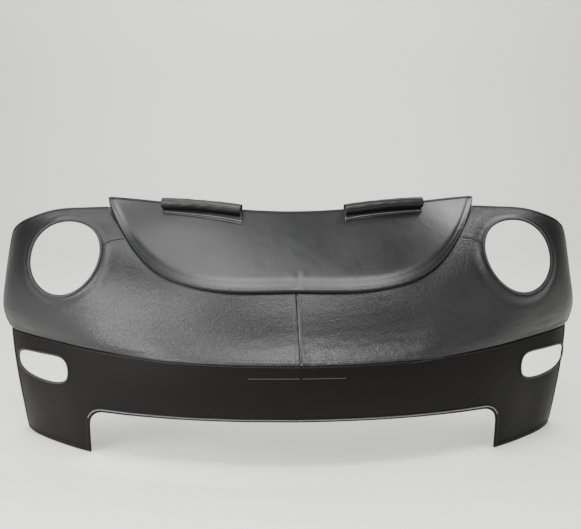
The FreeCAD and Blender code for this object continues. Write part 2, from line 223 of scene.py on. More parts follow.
def hoodHeight(x, y, distance):
    near = np.clip(1 - distance / hood["lipReach"], 0, 1)
    fade = 1 - np.minimum(1, np.abs(x) / hood["corner"][0]) ** hood["lipFade"]
    return domeHeight(x, y) - hood["lipDrop"] * near ** 2 * fade


def hoodRear(x):
    return hood["rearY"] + (hood["corner"][1] - hood["rearY"]) * (x / hood["corner"][0]) ** 2


print("forms are ready")


# meshes


def gridFaces(countU, countV):
    return [[i * countV + j, (i + 1) * countV + j, (i + 1) * countV + j + 1, i * countV + j + 1]
            for i in range(countU - 1) for j in range(countV - 1)]


def gridOf(stopsU, stopsV):
    u, v = np.meshgrid(stopsU, stopsV, indexing="ij")
    return np.stack([u.ravel(), v.ravel()], axis=1), gridFaces(len(stopsU), len(stopsV))


def clipAway(uv, faces, field):
    # drops what lies where the field is above zero, cutting each face on the line itself
    values = field(uv)
    places, cuts, kept = [tuple(p) for p in uv], {}, []
    for face in faces:
        ring = []
        for a, b in zip(face, face[1:] + face[:1]):
            if values[a] < 0:
                ring.append(a)
            if (values[a] < 0) != (values[b] < 0):
                key = (min(a, b), max(a, b))
                if key not in cuts:
                    t = values[a] / (values[a] - values[b])
                    cuts[key] = len(places)
                    places.append(tuple(uv[a] + (uv[b] - uv[a]) * t))
                ring.append(cuts[key])
        if len(ring) > 2:
            kept.append(ring)
    return np.array(places), kept


def makeObject(name, points, faces, scale=millimetre):
    mesh = bpy.data.meshes.new(name)
    mesh.from_pydata([tuple(p) for p in np.asarray(points) * scale], [], faces)
    build = bmesh.new()
    build.from_mesh(mesh)
    bmesh.ops.remove_doubles(build, verts=build.verts, dist=2e-5)
    bmesh.ops.delete(build, geom=[v for v in build.verts if not v.link_faces], context="VERTS")
    for face in build.faces:
        face.smooth = True
    build.to_mesh(mesh)
    build.free()
    mesh.update()
    made = bpy.data.objects.new(name, mesh)
    bpy.context.scene.collection.objects.link(made)
    objects[name] = made
    return made


def thicken(piece, thickness):
    shell = piece.modifiers.new("thickness", "SOLIDIFY")
    shell.thickness = thickness * millimetre
    shell.offset = -1
    shell.use_even_offset = True
    shell.thickness_clamp = 1


def flipped(points, faces):
    return np.asarray(points) * (-1, 1, 1), [face[::-1] for face in faces]


# where each panel ends

topEdge = np.concatenate([insetLine[insetLine[:, 0] > 0], fenderHemLine[1:]])
topOrder = np.argsort(topEdge[:, 0])

arch = {"axleY": 795, "axleZ": -120, "radius": 350, "hemLowZ": 120, "shoulderY": 492, "shoulderZ": 345}

lamp = {"centre": (648, 270, 246), "halfWidth": 124, "halfHeight": 106, "turn": 23, "lean": 12}

signal = {"innerX": 640, "outerX": 811, "topZ": -38, "bottomZ": -117, "shiftLeft": -12, "shiftRight": 6,
          "outline": [(0.08, 0.96), (0.45, 1.0), (0.86, 0.95), (0.99, 0.70), (0.96, 0.36),
                      (0.74, 0.09), (0.35, 0.0), (0.08, 0.14), (0.0, 0.48)]}

lowEdge = {"crown": -160, "drop": 11, "half": 568, "corner": 44, "bottom": -300}

plate = {"half": 127, "z": -36, "lowZ": -142, "ridge": 1.3, "slit": 1.3, "fold": 0.5, "lowFold": 0.4}

topEdgeEnd = 600     # past the end of the edge line nothing is cut away


def topField(p):
    return p[:, 1] - np.interp(p[:, 0], topEdge[topOrder, 0], topEdge[topOrder, 1], right=topEdgeEnd)


def sideY(z):
    axle, radius, reach = arch["axleY"], arch["radius"], arch["hemLowZ"] - arch["axleZ"]
    low = axle - np.sqrt(radius ** 2 - np.clip(z - arch["axleZ"], 1 - radius, reach) ** 2)
    high = axle - math.sqrt(radius ** 2 - reach ** 2)
    t = (z - arch["hemLowZ"]) / (arch["shoulderZ"] - arch["hemLowZ"])
    return np.where(z < arch["hemLowZ"], low, high + (arch["shoulderY"] - high) * t)


def sideField(p):
    return p[:, 1] - sideY(p[:, 2])


def lampAxes():
    turn, lean = math.radians(lamp["turn"]), math.radians(lamp["lean"])
    out = np.array([math.sin(turn) * math.cos(lean), -math.cos(turn) * math.cos(lean), math.sin(lean)])
    across = np.array([math.cos(turn), math.sin(turn), 0])
    return np.array(lamp["centre"], float), out, across, np.cross(across, out)


lampCentre, lampOut, lampAcross, lampUp = lampAxes()


def lampRadius(p):
    a, b = (p - lampCentre) @ lampAcross, (p - lampCentre) @ lampUp
    return np.sqrt((a / lamp["halfWidth"]) ** 2 + (b / lamp["halfHeight"]) ** 2)


def lampField(p):
    return 1 - lampRadius(p)


def signalOutline(shift, count=240):
    points = np.array(signal["outline"] * 3)
    n = len(signal["outline"])
    loop = splineThrough(np.arange(len(points)), points)(np.linspace(n, 2 * n, count, endpoint=False))
    low = np.array([signal["innerX"] + shift, signal["bottomZ"]])
    size = np.array([signal["outerX"] - signal["innerX"], signal["topZ"] - signal["bottomZ"]])
    return low + loop * size, low + size / 2


def signalField(shift):
    loop, centre = signalOutline(shift)
    around = np.arctan2(loop[:, 1] - centre[1], loop[:, 0] - centre[0])
    order = np.argsort(around)
    reach = np.linalg.norm(loop - centre, axis=1)

    def field(p):
        angle = np.arctan2(p[:, 2] - centre[1], p[:, 0] - centre[0])
        limit = np.interp(angle, around[order], reach[order], period=2 * math.pi)
        return limit - np.hypot(p[:, 0] - centre[0], p[:, 2] - centre[1])
    return field


def notchTop(x):
    return lowEdge["crown"] - lowEdge["drop"] * (x / (lowEdge["half"] - lowEdge["corner"])) ** 2


def lowField(p):
    x, z = np.abs(p[:, 0]), p[:, 2]
    half, corner = lowEdge["half"], lowEdge["corner"]
    top = lowEdge["crown"] - lowEdge["drop"]
    beside = half - x
    rounded = corner - np.hypot(x - (half - corner), z - (top - corner))
    notch = np.where(x < half - corner, np.minimum(notchTop(x) - z, beside),
                     np.where(z < top - corner, beside, rounded))
    return np.maximum(lowEdge["bottom"] - z, notch)


def finerAtStart(count, fine, reach):
    # places from 0 to 1 with some of them close together over a first short reach
    close = np.linspace(0, reach, fine, endpoint=False)
    return np.concatenate([close, np.linspace(reach, 1, count - fine)])


def finerAtEnd(count, fine, reach):
    return 1 - finerAtStart(count, fine, reach)[::-1]


def cutForm(form, stopsU, stopsV, fields):
    uv, faces = gridOf(stopsU, stopsV)
    for field in fields:
        uv, faces = clipAway(uv, faces, lambda q: field(form.at(q[:, 0], q[:, 1])))
    return uv, faces


# soft shapes that the stretched cloth takes, as millimetres along the surface normal

crease = {"puckers": 0.8, "puckerReach": 16, "ripple": 0.7, "rippleAt": 34, "sag": 1.1, "leftShare": 0.5,
          "seamPad": 0.9, "seamDip": 1.5, "seamWidth": 2.4, "turnIn": 1.5, "turnReach": 2.6}
lampRim = {"meanRadius": 114, "roll": 2.2, "rollAt": 13, "rollWidth": 9, "valley": 0.9, "valleyAt": 34,
           "valleyWidth": 10, "valleyTop": 40, "valleyFade": 90}
overhang = {"height": 3.6, "starts": (200, 420), "ends": (730, 800), "rises": (0, 22), "falls": (26, 110)}
crestRise = {"x": [0, 300, 440, 650, 840], "z": [0, 1, 2, 5, 10]}
bumperCrease = {"sag": 0.8, "ripple": 0.25, "seamDip": 0.45, "seamWidth": 1.6}

# the centre seam slants: its distance from the centre line at the crest and below, and at the hood
centreSeam = {"low": 11.0, "high": 2.0, "highZ": 195.0, "reach": 70.0}

dart = {"lamp": (526, 279), "middle": (500, 292), "hood": (466, 297), "step": 0.5,
        "starts": (440, 466), "ends": (526, 560)}
dartLine = np.array([dart["lamp"], dart["middle"], dart["hood"]], float)


def plateau(value, starts, ends):
    return smoothStep(value, *starts) * (1 - smoothStep(value, *ends))


def seamShift(z):
    rise = centreSeam["high"] - centreSeam["low"]
    return centreSeam["low"] + rise * np.clip(z / centreSeam["highZ"], 0, 1)


def crestHeight(x):
    return np.interp(np.abs(x), crestRise["x"], crestRise["z"])


def noseRelief(p, side):
    out, x, z = p[:, 0], p[:, 0] * side, p[:, 2]     # out is the distance from the centre line
    above = z - crestHeight(x)
    stronger = 1.0 if side > 0 else crease["leftShare"]
    relief = crease["seamPad"] * bump(out, 7, 5) * smoothStep(above, 2, 12)
    rib = np.sin(x / 9.5 + 2.2 * np.sin(x / 61)) * (0.6 + 0.4 * np.sin(x / 47 + 1))     # about 60 mm apart
    relief += crease["puckers"] * rib * np.exp(-np.abs(above) / crease["puckerReach"]) * stronger
    nearCrest = bump(above, crease["rippleAt"], crease["rippleAt"]) + 0.25
    relief += crease["ripple"] * wave(x, z * 1.8, 3, 42) * stronger * nearCrest
    relief += crease["sag"] * wave(x, z, 8, 210)
    gap = (lampRadius(p) - 1) * lampRim["meanRadius"]
    relief += lampRim["roll"] * bump(gap, lampRim["rollAt"], lampRim["rollWidth"])
    lower = smoothStep(lampCentre[2] + lampRim["valleyTop"] - z, 0, lampRim["valleyFade"])
    relief -= lampRim["valley"] * bump(gap, lampRim["valleyAt"], lampRim["valleyWidth"]) * lower
    across = z - np.interp(out, dartLine[::-1, 0], dartLine[::-1, 1])
    fold = bump(across, 5, 5) + 0.5 * bump(across, -6, 5) - 1.2 * bump(across, 0, 2.5)
    relief += dart["step"] * plateau(out, dart["starts"], dart["ends"]) * fold
    beside = plateau(out, overhang["starts"], overhang["ends"])
    relief += overhang["height"] * beside * plateau(above, overhang["rises"], overhang["falls"])
    relief *= smoothStep(above, 0, 7) * smoothStep(out, 0, 4)
    relief -= crease["turnIn"] * bump(above, 0, crease["turnReach"])
    return relief - crease["seamDip"] * bump(out, 0, crease["seamWidth"])


def bumperRelief(p, side):
    out, x, z = p[:, 0], p[:, 0] * side, p[:, 2]
    below, half = crestHeight(x) - z, plate["half"]
    relief = bumperCrease["sag"] * wave(x, z, 21, 240) + bumperCrease["ripple"] * wave(x, z * 1.5, 22, 60)
    besidePlate = 1 - smoothStep(out, half - 20, half + 14)
    relief += plate["ridge"] * bump(z, plate["z"] + 6, 6) * besidePlate
    relief -= plate["slit"] * bump(z, plate["z"] - 2.5, 2.4) * (1 - smoothStep(out, half - 3, half + 3))
    upright = bump(out, half, 2.5) * smoothStep(z, plate["lowZ"], plate["lowZ"] + 8)
    relief -= plate["fold"] * upright * (1 - smoothStep(z, -60, -44))
    relief -= plate["lowFold"] * bump(z, plate["lowZ"], 2.5) * besidePlate
    relief *= smoothStep(below, 0, 7)
    relief -= crease["turnIn"] * bump(below, 0, crease["turnReach"])
    return relief - bumperCrease["seamDip"] * bump(out, 0, bumperCrease["seamWidth"])


print("edges are ready")


# the panels


def slantSeam(points):
    # slides the cloth near the centre sideways, so that the two halves meet on the slanted seam
    moved = np.array(points, float)
    moved[:, 0] += seamShift(moved[:, 2]) * bump(moved[:, 0], 0, centreSeam["reach"])
    return moved


def halfPanel(form, cut, relief, side, gap):
    uv, faces = cut
    p, n = form.at(uv[:, 0], uv[:, 1]), form.normalAt(uv[:, 0], uv[:, 1])
    p = p + n * relief(p, side)[:, None] + np.array([gap, 0, 0])
    p[uv[:, 0] == 0, 0] = gap
    if side < 0:
        p, faces = flipped(p, faces)
    return slantSeam(p), faces


def treeOf(form, relief, side, counts=(420, 150)):
    # the finished surface of one half, told in the right half's places, for pieces that lie on it
    uv, faces = gridOf(np.linspace(0, 1, counts[0]), np.linspace(0, 1, counts[1]))
    p, n = form.at(uv[:, 0], uv[:, 1]), form.normalAt(uv[:, 0], uv[:, 1])
    p = p + n * relief(p, side)[:, None]
    return BVHTree.FromPolygons([tuple(q) for q in p], faces)


sides = {"Right": 1, "Left": -1}
noseCloth = {"stopsU": (330, 26, 0.011), "stopsV": (132, 14, 0.014), "thickness": 1.8, "gap": 0.1}
bumperCloth = {"stopsU": (250, 18, 0.009), "stopsV": (104, 14, 0.016), "thickness": 1.8}

noseCut = cutForm(nose, finerAtStart(*noseCloth["stopsU"]), finerAtStart(*noseCloth["stopsV"]),
                  [sideField, topField, lampField])
noseTrees, bumperTrees, bumperHalves = {}, {}, []
for tail, side in sides.items():
    half = halfPanel(nose, noseCut, noseRelief, side, noseCloth["gap"])
    thicken(makeObject("noseSkin" + tail, *half), noseCloth["thickness"])
    noseTrees[side] = treeOf(nose, noseRelief, side)
    bumperTrees[side] = treeOf(bumper, bumperRelief, side)
    bumperCut = cutForm(bumper, finerAtStart(*bumperCloth["stopsU"]), finerAtEnd(*bumperCloth["stopsV"]),
                        [sideField, lowField, signalField(signal["shift" + tail])])
    bumperHalves.append(halfPanel(bumper, bumperCut, bumperRelief, side, 0.0))
(rightPoints, rightFaces), (leftPoints, leftFaces) = bumperHalves
leftFaces = [[index + len(rightPoints) for index in face] for face in leftFaces]
bumperPoints = np.concatenate([rightPoints, leftPoints])
thicken(makeObject("bumperSkin", bumperPoints, rightFaces + leftFaces), bumperCloth["thickness"])

hoodCloth = {"columns": 330, "rows": 64, "end": 0.993, "crowding": 1.7, "behind": 2, "thickness": 2.0,
             "sag": 0.9, "ripple": 0.28, "groove": 0.8, "grooveAt": 10, "grooveWidth": 3.5}
# dents and puckers of the lip over the centre seam: height, then place and width along x and along y
hoodDents = [(-1.6, 9, 5, 112, 13), (1.0, 22, 9, 110, 15), (0.7, -6, 7, 108, 12), (-1.0, 1, 16, 100, 4)]


def hoodSkin():
    columns, rows = hoodCloth["columns"], hoodCloth["rows"]
    stop = np.linspace(-hoodCloth["end"], hoodCloth["end"], columns)
    share = np.linspace(0, 1, len(smileLine))
    foot = np.stack([np.interp((stop + 1) / 2, share, smileLine[:, k]) for k in range(2)], axis=1)
    x = hood["corner"][0] * stop
    back = np.stack([x, hoodRear(x) + hoodCloth["behind"]], axis=1)
    fraction = np.linspace(0, 1, rows) ** hoodCloth["crowding"]
    place = foot[:, None] + (back - foot)[:, None] * fraction[None, :, None]
    x, y = place[..., 0], place[..., 1]
    gap = smileDistance(x, y)
    z = hoodHeight(x, y, gap)
    z = z + hoodCloth["sag"] * wave(x, y, 31, 260) * smoothStep(gap, 5, 60)
    z += hoodCloth["ripple"] * wave(x, y * 1.6, 33, 46) * bump(x, 60, 330) * smoothStep(gap, 8, 40)
    z -= hoodCloth["groove"] * bump(gap, hoodCloth["grooveAt"], hoodCloth["grooveWidth"])
    for height, atX, wideX, atY, wideY in hoodDents:
        z += height * bump(x, atX, wideX) * bump(y, atY, wideY)
    points, faces = np.stack([x, y, z], axis=-1).reshape(-1, 3), gridFaces(columns, rows)
    thicken(makeObject("hoodSkin", points, faces), hoodCloth["thickness"])
    return BVHTree.FromPolygons([tuple(q) for q in points], faces)


hoodTree = hoodSkin()
print("panels are ready")


# strips, bindings and stitches that lie on a panel


def evenLine(path, count):
    run, even = chordStops(path), np.linspace(0, 1, count)
    return np.stack([np.interp(even, run, path[:, k]) for k in range(path.shape[1])], axis=1)


def dropOnto(tree, origins, direction):
    spots = [tree.ray_cast(Vector(origin), Vector(direction))[0] for origin in origins]
    return np.array([spot for spot in spots if spot is not None])


def smoothed(values, closed, rounds=6):
    values = np.array(values, float)
    for _ in range(rounds):
        if closed:
            values = (np.roll(values, 1, 0) + 2 * values + np.roll(values, -1, 0)) / 4
        else:
            values[1:-1] = (values[:-2] + 2 * values[1:-1] + values[2:]) / 4
    return values


def within(path, *fields):
    return path[np.all([field(path) < 0.5 for field in fields], axis=0)]


def frameAlong(path, tree, field, closed):
    # at each place: the way along, the outward normal and the way into the cloth, where the field falls
    if closed:
        along = np.roll(path, -1, 0) - np.roll(path, 1, 0)
    else:
        along = np.gradient(path, axis=0)
    along /= np.linalg.norm(along, axis=1)[:, None]
    normals = smoothed([tree.find_nearest(Vector(p))[1] for p in path], closed, 10)
    normals /= np.linalg.norm(normals, axis=1)[:, None]
    inward = np.cross(normals, along)
    if field(path + inward * 4).mean() > field(path - inward * 4).mean():
        inward = -inward
    return along, normals, inward


def finishPiece(name, points, faces, side, slanted):
    if side < 0:
        points, faces = flipped(points, faces)
    made = makeObject(name, slantSeam(points) if slanted else points, faces)
    build = bmesh.new()
    build.from_mesh(made.data)
    bmesh.ops.recalc_face_normals(build, faces=build.faces)
    build.to_mesh(made.data)
    build.free()


def ringFaces(count, around, closed, base=0):
    faces = []
    for i in range(count if closed else count - 1):
        here, onward = base + i * around, base + (i + 1) % count * around
        for j in range(around):
            m = (j + 1) % around
            faces.append([here + j, onward + j, onward + m, here + m])
    if not closed:
        last = base + (count - 1) * around
        faces += [[base + j for j in range(around)], [last + j for j in range(around)][::-1]]
    return faces


def layStrip(name, tree, path, field, profile, side=1, closed=False, slanted=True):
    # profile: a ring of places, each a distance into the cloth and a height over it
    along, normals, inward = frameAlong(path, tree, field, closed)
    rings = []
    for distance, height in profile:
        ring = path + inward * distance
        if distance > 0:
            ring = np.array([tree.find_nearest(Vector(p))[0] for p in ring])
        rings.append(smoothed(ring, closed, 3) + normals * height)
    points = np.stack(rings, axis=1).reshape(-1, 3)
    finishPiece(name, points, ringFaces(len(path), len(profile), closed), side, slanted)


def layTube(name, path, radius, side=1, slanted=True, around=10):
    along = np.gradient(path, axis=0)
    along /= np.linalg.norm(along, axis=1)[:, None]
    across = np.cross(along, (0, 0, 1))
    across /= np.linalg.norm(across, axis=1)[:, None]
    up = np.cross(across, along)
    size = np.broadcast_to(radius, len(path))[:, None]
    points = np.stack([path + (across * math.cos(a) + up * math.sin(a)) * size
                       for a in np.linspace(0, 2 * math.pi, around, endpoint=False)], axis=1).reshape(-1, 3)
    finishPiece(name, points, ringFaces(len(path), around, False), side, slanted)


stitchShape = [(-1, 0.35), (-0.55, 1), (0.55, 1), (1, 0.35)]     # place along half of it, share of its radius
stitchCorners = 5


def layStitches(name, tree, path, field, stitch, side=1, closed=False, slanted=True):
    if closed:
        path = np.concatenate([path, path[:1]])
    total = np.linalg.norm(np.diff(path, axis=0), axis=1).sum()
    path = evenLine(path, max(int(total / stitch["pitch"]), 4) + 1)
    along, normals, inward = frameAlong(path, tree, field, False)
    points, faces = [], []
    for p, t, n, s in zip(path[:-1], along[:-1], normals[:-1], inward[:-1]):
        centre = np.array(tree.find_nearest(Vector(p + s * stitch["inset"]))[0]) + n * stitch["height"]
        run, beside = (s, t) if stitch["across"] else (t, s)
        base = len(points)
        for share, size in stitchShape:
            for corner in range(stitchCorners):
                angle = corner * 2 * math.pi / stitchCorners
                points.append(centre + run * share * stitch["length"] / 2
                              + (beside * math.cos(angle) + n * math.sin(angle)) * stitch["radius"] * size)
        faces += ringFaces(len(stitchShape), stitchCorners, False, base)
    finishPiece(name, np.array(points), faces, side, slanted)


hemProfile = [(-0.6, -2.4), (-1.5, -1.0), (-1.0, 0.6), (0.6, 1.15), (5, 1.15), (11, 0.95), (12.6, 0.35),
              (13, -0.5), (6, -0.7), (0.5, -2.2)]
cordedProfile = [(-0.4, -2.6), (-2.0, -1.5), (-2.6, 0.2), (-1.6, 2.0), (0.8, 2.9), (3.8, 2.6), (6.2, 1.5),
                 (7.2, -0.2), (3, -0.8)]
bindingProfile = [(-0.4, -2.6), (-1.7, -1.6), (-2.2, 0.0), (-1.3, 1.6), (0.6, 2.1), (3.2, 1.7), (4.8, 0.9),
                  (5.2, -0.4), (2, -0.8)]
rearHemProfile = [(-0.6, -2.4), (-1.8, -0.8), (-1.0, 0.9), (1.5, 1.0), (6, 0.7), (9, 0.3), (9, -0.6),
                  (1, -2.2)]
tapeProfile = [(-12, -3.2), (-12, -4.0), (12, -4.0), (12, -3.2)]     # flat, behind the cloth

# real stitches are about 4 mm apart; these are drawn up to twice as coarse, so that the picture shows them
topRow = {"pitch": 8.5, "length": 5.6, "radius": 0.7, "height": 0.5, "inset": 4.5, "across": False}
upperRow = {**topRow, "inset": 11.0}
edgeRow = {**topRow, "radius": 0.6, "inset": 3.2}
hemRow = {**topRow, "inset": 9.5, "height": 1.2}
ribRow = {"pitch": 6.4, "length": 8.4, "radius": 1.25, "height": 2.7, "inset": 2.2, "across": True}
overRow = {"pitch": 6.4, "length": 5.4, "radius": 1.1, "height": 2.0, "inset": 1.2, "across": True}
notchRow = {"pitch": 6.4, "length": 3.6, "radius": 1.25, "height": 1.7, "inset": 6.6, "across": True}
dartRow = {**topRow, "pitch": 6.5, "length": 4.2, "radius": 0.6, "inset": 3.0}
flangeRow = {"pitch": 6.4, "length": 3.2, "radius": 0.95, "height": 2.0, "inset": 0.0, "across": False}

# where the rays start that find a place on a panel
castFrom = {"front": -400, "signal": -100, "side": 1400, "above": 700, "lamp": 160}


def upward(p):
    return -p[:, 2]


def downward(p):
    return p[:, 2]


def backward(p):
    return -p[:, 1]


def lampPath(tree, count=180):
    angles = np.linspace(0, 2 * math.pi, count, endpoint=False)[:, None]
    wide, high = lampAcross * lamp["halfWidth"], lampUp * lamp["halfHeight"]
    ring = lampCentre + wide * np.cos(angles) + high * np.sin(angles)
    return smoothed(dropOnto(tree, ring + lampOut * castFrom["lamp"], -lampOut), True, 3)


def notchOutline():
    half, corner = lowEdge["half"], lowEdge["corner"]
    top = lowEdge["crown"] - lowEdge["drop"]
    line = [(x, notchTop(x)) for x in np.linspace(0, half - corner, 90)]
    line += [(half - corner + corner * math.sin(t), top - corner + corner * math.cos(t))
             for t in np.linspace(0.1, math.pi / 2, 12)]
    line += [(half, z) for z in np.linspace(top - corner - 6, lowEdge["bottom"] + 1, 16)]
    return line


def fromFront(tree, places):
    starts = [(x, castFrom["front"], z) for x, z in places]
    return smoothed(dropOnto(tree, starts, (0, 1, 0)), False, 2)


def fromSide(tree, heights):
    starts = [(castFrom["side"], y, z) for y, z in zip(sideY(heights), heights)]
    return smoothed(dropOnto(tree, starts, (-1, 0, 0)), False, 2)


def crestOf(form, v):
    return within(form.at(np.linspace(0.002, 1, 300), np.full(300, v)), sideField)


noseTrim = {"sideFoot": 13, "sideTop": 330, "dartRadius": 1.1, "crestV": 0.004, "seamU": 0.0005,
            "seamV": (0.02, 0.47), "seamTop": 190}


def nosePieces(tree, tail, side):
    above = evenLine(fenderHemLine, 120) * (1, 1, 0) + (1, 0, castFrom["above"])
    fender = within(smoothed(dropOnto(tree, above, (0, 0, -1)), False, 4), sideField)
    layStrip("fenderHem" + tail, tree, fender, topField, hemProfile, side)
    layStitches("fenderHemStitches" + tail, tree, fender, topField, hemRow, side)
    heights = np.linspace(noseTrim["sideFoot"], noseTrim["sideTop"], 76)
    sideHem = within(fromSide(tree, heights), topField)
    layStrip("noseSideHem" + tail, tree, sideHem, sideField, hemProfile, side)
    rim = lampPath(tree)
    layStrip("headlightBinding" + tail, tree, rim, lampField, cordedProfile, side, True)
    layStitches("headlightRibs" + tail, tree, rim, lampField, ribRow, side, True)
    dartPath = fromFront(tree, evenLine(dartLine, 24))
    layTube("dartSeam" + tail, dartPath, noseTrim["dartRadius"], side)
    layStitches("dartStitches" + tail, tree, dartPath, upward, dartRow, side)
    crest = crestOf(nose, noseTrim["crestV"])
    layStrip("seamTape" + tail, tree, crest, upward, tapeProfile, side)
    layStitches("crestStitches" + tail, tree, crest, upward, topRow, side)
    layStitches("crestStitchesUpper" + tail, tree, crest, upward, upperRow, side)
    centre = nose.at(np.full(60, noseTrim["seamU"]), np.linspace(*noseTrim["seamV"], 60))
    centre = centre[centre[:, 2] < noseTrim["seamTop"]]
    layStitches("centreStitches" + tail, tree, centre, lambda p: -p[:, 0], topRow, side)


bumperTrim = {"archFoot": -299, "archTop": 9, "bottomEnd": 800, "crestV": 0.998, "weltRise": 1.5,
              "weltStep": 0.35, "weltRadius": 0.9}


def bumperPieces(tree, tail, side):
    heights = np.linspace(bumperTrim["archFoot"], bumperTrim["archTop"], 80)
    layStrip("archHem" + tail, tree, fromSide(tree, heights), sideField, hemProfile, side)
    field = signalField(signal["shift" + tail])
    loop, _ = signalOutline(signal["shift" + tail], 150)
    starts = [(x, castFrom["signal"], z) for x, z in loop]
    around = smoothed(dropOnto(tree, starts, (0, 1, 0)), True, 2)
    layStrip("signalBinding" + tail, tree, around, field, bindingProfile, side, True)
    layStitches("signalRibs" + tail, tree, around, field, overRow, side, True)
    notch = fromFront(tree, notchOutline())
    layStrip("notchHem" + tail, tree, notch, lowField, hemProfile, side)
    hemTop = notch[notch[:, 2] > lowEdge["crown"] - lowEdge["drop"] - lowEdge["corner"] * 0.8]
    layStitches("notchStitches" + tail, tree, hemTop, lowField, notchRow, side)
    bottom = [(x, lowEdge["bottom"]) for x in np.linspace(lowEdge["half"], bumperTrim["bottomEnd"], 60)]
    bottom = within(fromFront(tree, bottom), sideField)
    layStrip("bottomHem" + tail, tree, bottom, lowField, hemProfile, side)
    crest = crestOf(bumper, bumperTrim["crestV"])
    layStitches("crestStitchesLower" + tail, tree, crest, downward, edgeRow, side)
    half, rise = plate["half"], bumperTrim["weltRise"]
    welt = [(x, plate["z"] + rise * (1 - (x / half) ** 2)) for x in np.linspace(0, half, 40)]
    welt = fromFront(tree, welt) + (0, -bumperTrim["weltStep"], 0)
    layTube("plateWelt" + tail, welt, bumperTrim["weltRadius"], side)


for tail, side in sides.items():
    nosePieces(noseTrees[side], tail, side)
    bumperPieces(bumperTrees[side], tail, side)
print("strips are ready")

# the two padded rolls on the rear hem

roll = {"radius": 15.0, "inner": (143, 287), "outer": (362, 335), "recess": 3.0, "wall": 1.6, "seat": 0.25,
        "rounding": 0.5, "around": 44, "along": 110, "flangeSteps": 70, "stitchAt": 0.72}
flangeReach = {"Right": (24.0, 22.0), "Left": (33.0, 23.0)}     # at the inner end and at the outer end
# across the flange: a share of its reach, and a height over the hood
flangeProfile = [(0.0, 0.3), (0.35, 0.3), (0.7, 0.3), (1.0, 0.4), (1.03, 1.1), (0.98, 2.0), (0.84, 2.2),
                 (0.68, 1.6), (0.45, 3.4), (0.2, 4.0)]


def domeNormal(x, y, step=0.5):
    slopeX = domeHeight(x - step, y) - domeHeight(x + step, y)
    slopeY = domeHeight(x, y - step) - domeHeight(x, y + step)
    n = np.array([slopeX, slopeY, 2 * step])
    return n / np.linalg.norm(n)


def rollPlace(share, lift, forward=0.0):
    x, y = np.array(roll["inner"]) + (np.array(roll["outer"]) - roll["inner"]) * share - (0, forward)
    return np.array([x, y, domeHeight(x, y)]) + domeNormal(x, y) * lift


def flangeWidth(tail, share):
    inner, outer = flangeReach[tail]
    return inner + (outer - inner) * share


def rollFold(share, angle, side):     # shallow folds round the sleeve, which fade at its ends
    fold = 0.35 * math.sin(share * 31 + 2 * math.sin(angle * 2 + side))
    return (fold + 0.25 * math.sin(angle * 3 + share * 9)) * math.sin(share * math.pi)


def rollSleeve(tail, side):
    radius, inside = roll["radius"], roll["radius"] - roll["wall"]
    mouth = [(inside, roll["recess"]), (inside, 0.4), (radius - roll["rounding"], -0.2)]
    rings = [(0.0, size, push) for size, push in mouth]
    rings += [(share, radius, 0.0) for share in np.linspace(0.004, 0.996, roll["along"])]
    rings += [(1.0, size, -push) for size, push in mouth[::-1]]
    points = []
    for share, size, push in rings:
        centre = rollPlace(share, roll["seat"] + radius)
        t = rollPlace(min(share + 0.02, 1), radius) - rollPlace(max(share - 0.02, 0), radius)
        t /= np.linalg.norm(t)
        up = domeNormal(centre[0], centre[1])
        up = up - t * (up @ t)
        up /= np.linalg.norm(up)
        out = np.cross(t, up)
        for angle in np.linspace(0, 2 * math.pi, roll["around"], endpoint=False):
            ray = out * math.cos(angle) + up * math.sin(angle)
            points.append(centre + t * push + ray * (size + rollFold(share, angle, side)))
    faces = ringFaces(len(rings), roll["around"], False)[:-2]
    base = len(points)
    for share in np.linspace(0, 1, roll["flangeSteps"]):
        for part, lift in flangeProfile:
            flutter = max(math.sin(share * 17 + side), 0) * max(part - 0.7, 0) * 2.5
            points.append(rollPlace(share, lift + flutter, 1 + part * flangeWidth(tail, share)))
    faces += ringFaces(roll["flangeSteps"], len(flangeProfile), False, base)
    finishPiece("rollSleeve" + tail, np.array(points), faces, side, False)
    row = np.array([rollPlace(share, 1.8, 1 + roll["stitchAt"] * flangeWidth(tail, share))
                    for share in np.linspace(0.01, 0.99, 60)])
    layStitches("rollStitches" + tail, hoodTree, row, backward, flangeRow, side, False, False)


for tail, side in sides.items():
    rollSleeve(tail, side)

# edges of the hood piece: a thin rear hem, and a lip rolled over a thick hem at the front

rearHem = {"half": 520, "behind": 1.0, "count": 170}
rearX = np.linspace(-rearHem["half"], rearHem["half"], rearHem["count"])
rearY = hoodRear(rearX) + rearHem["behind"]
rearLine = np.stack([rearX, rearY, domeHeight(rearX, rearY)], axis=1)
layStrip("hoodRearHem", hoodTree, rearLine, lambda p: p[:, 1], rearHemProfile, slanted=False)

lip = {"radius": 4.2, "inset": 1.4, "drop": 3.5, "trim": 8, "count": 320, "taper": 0.5, "taperPower": 6}
lipEdge = (smileLine + smileInward * lip["inset"])[lip["trim"]:-lip["trim"]]
lipLine = evenLine(lipEdge, lip["count"])
lipLine[:, 2] = hoodHeight(lipLine[:, 0], lipLine[:, 1], np.zeros(len(lipLine))) - lip["drop"]
taper = 1 - lip["taper"] * (np.abs(lipLine[:, 0]) / hood["corner"][0]) ** lip["taperPower"]
layTube("hoodLipEdge", lipLine, lip["radius"] * taper, slanted=False, around=14)
print("rolls and edges are ready")


# materials


def addNode(tree, kind, settings=None, links=None, **attributes):
    node = tree.nodes.new(kind)
    for key, value in attributes.items():
        setattr(node, key, value)
    for key, value in (settings or {}).items():
        node.inputs[key].default_value = value
    for key, source in (links or {}).items():
        tree.links.new(source, node.inputs[key])
    return node


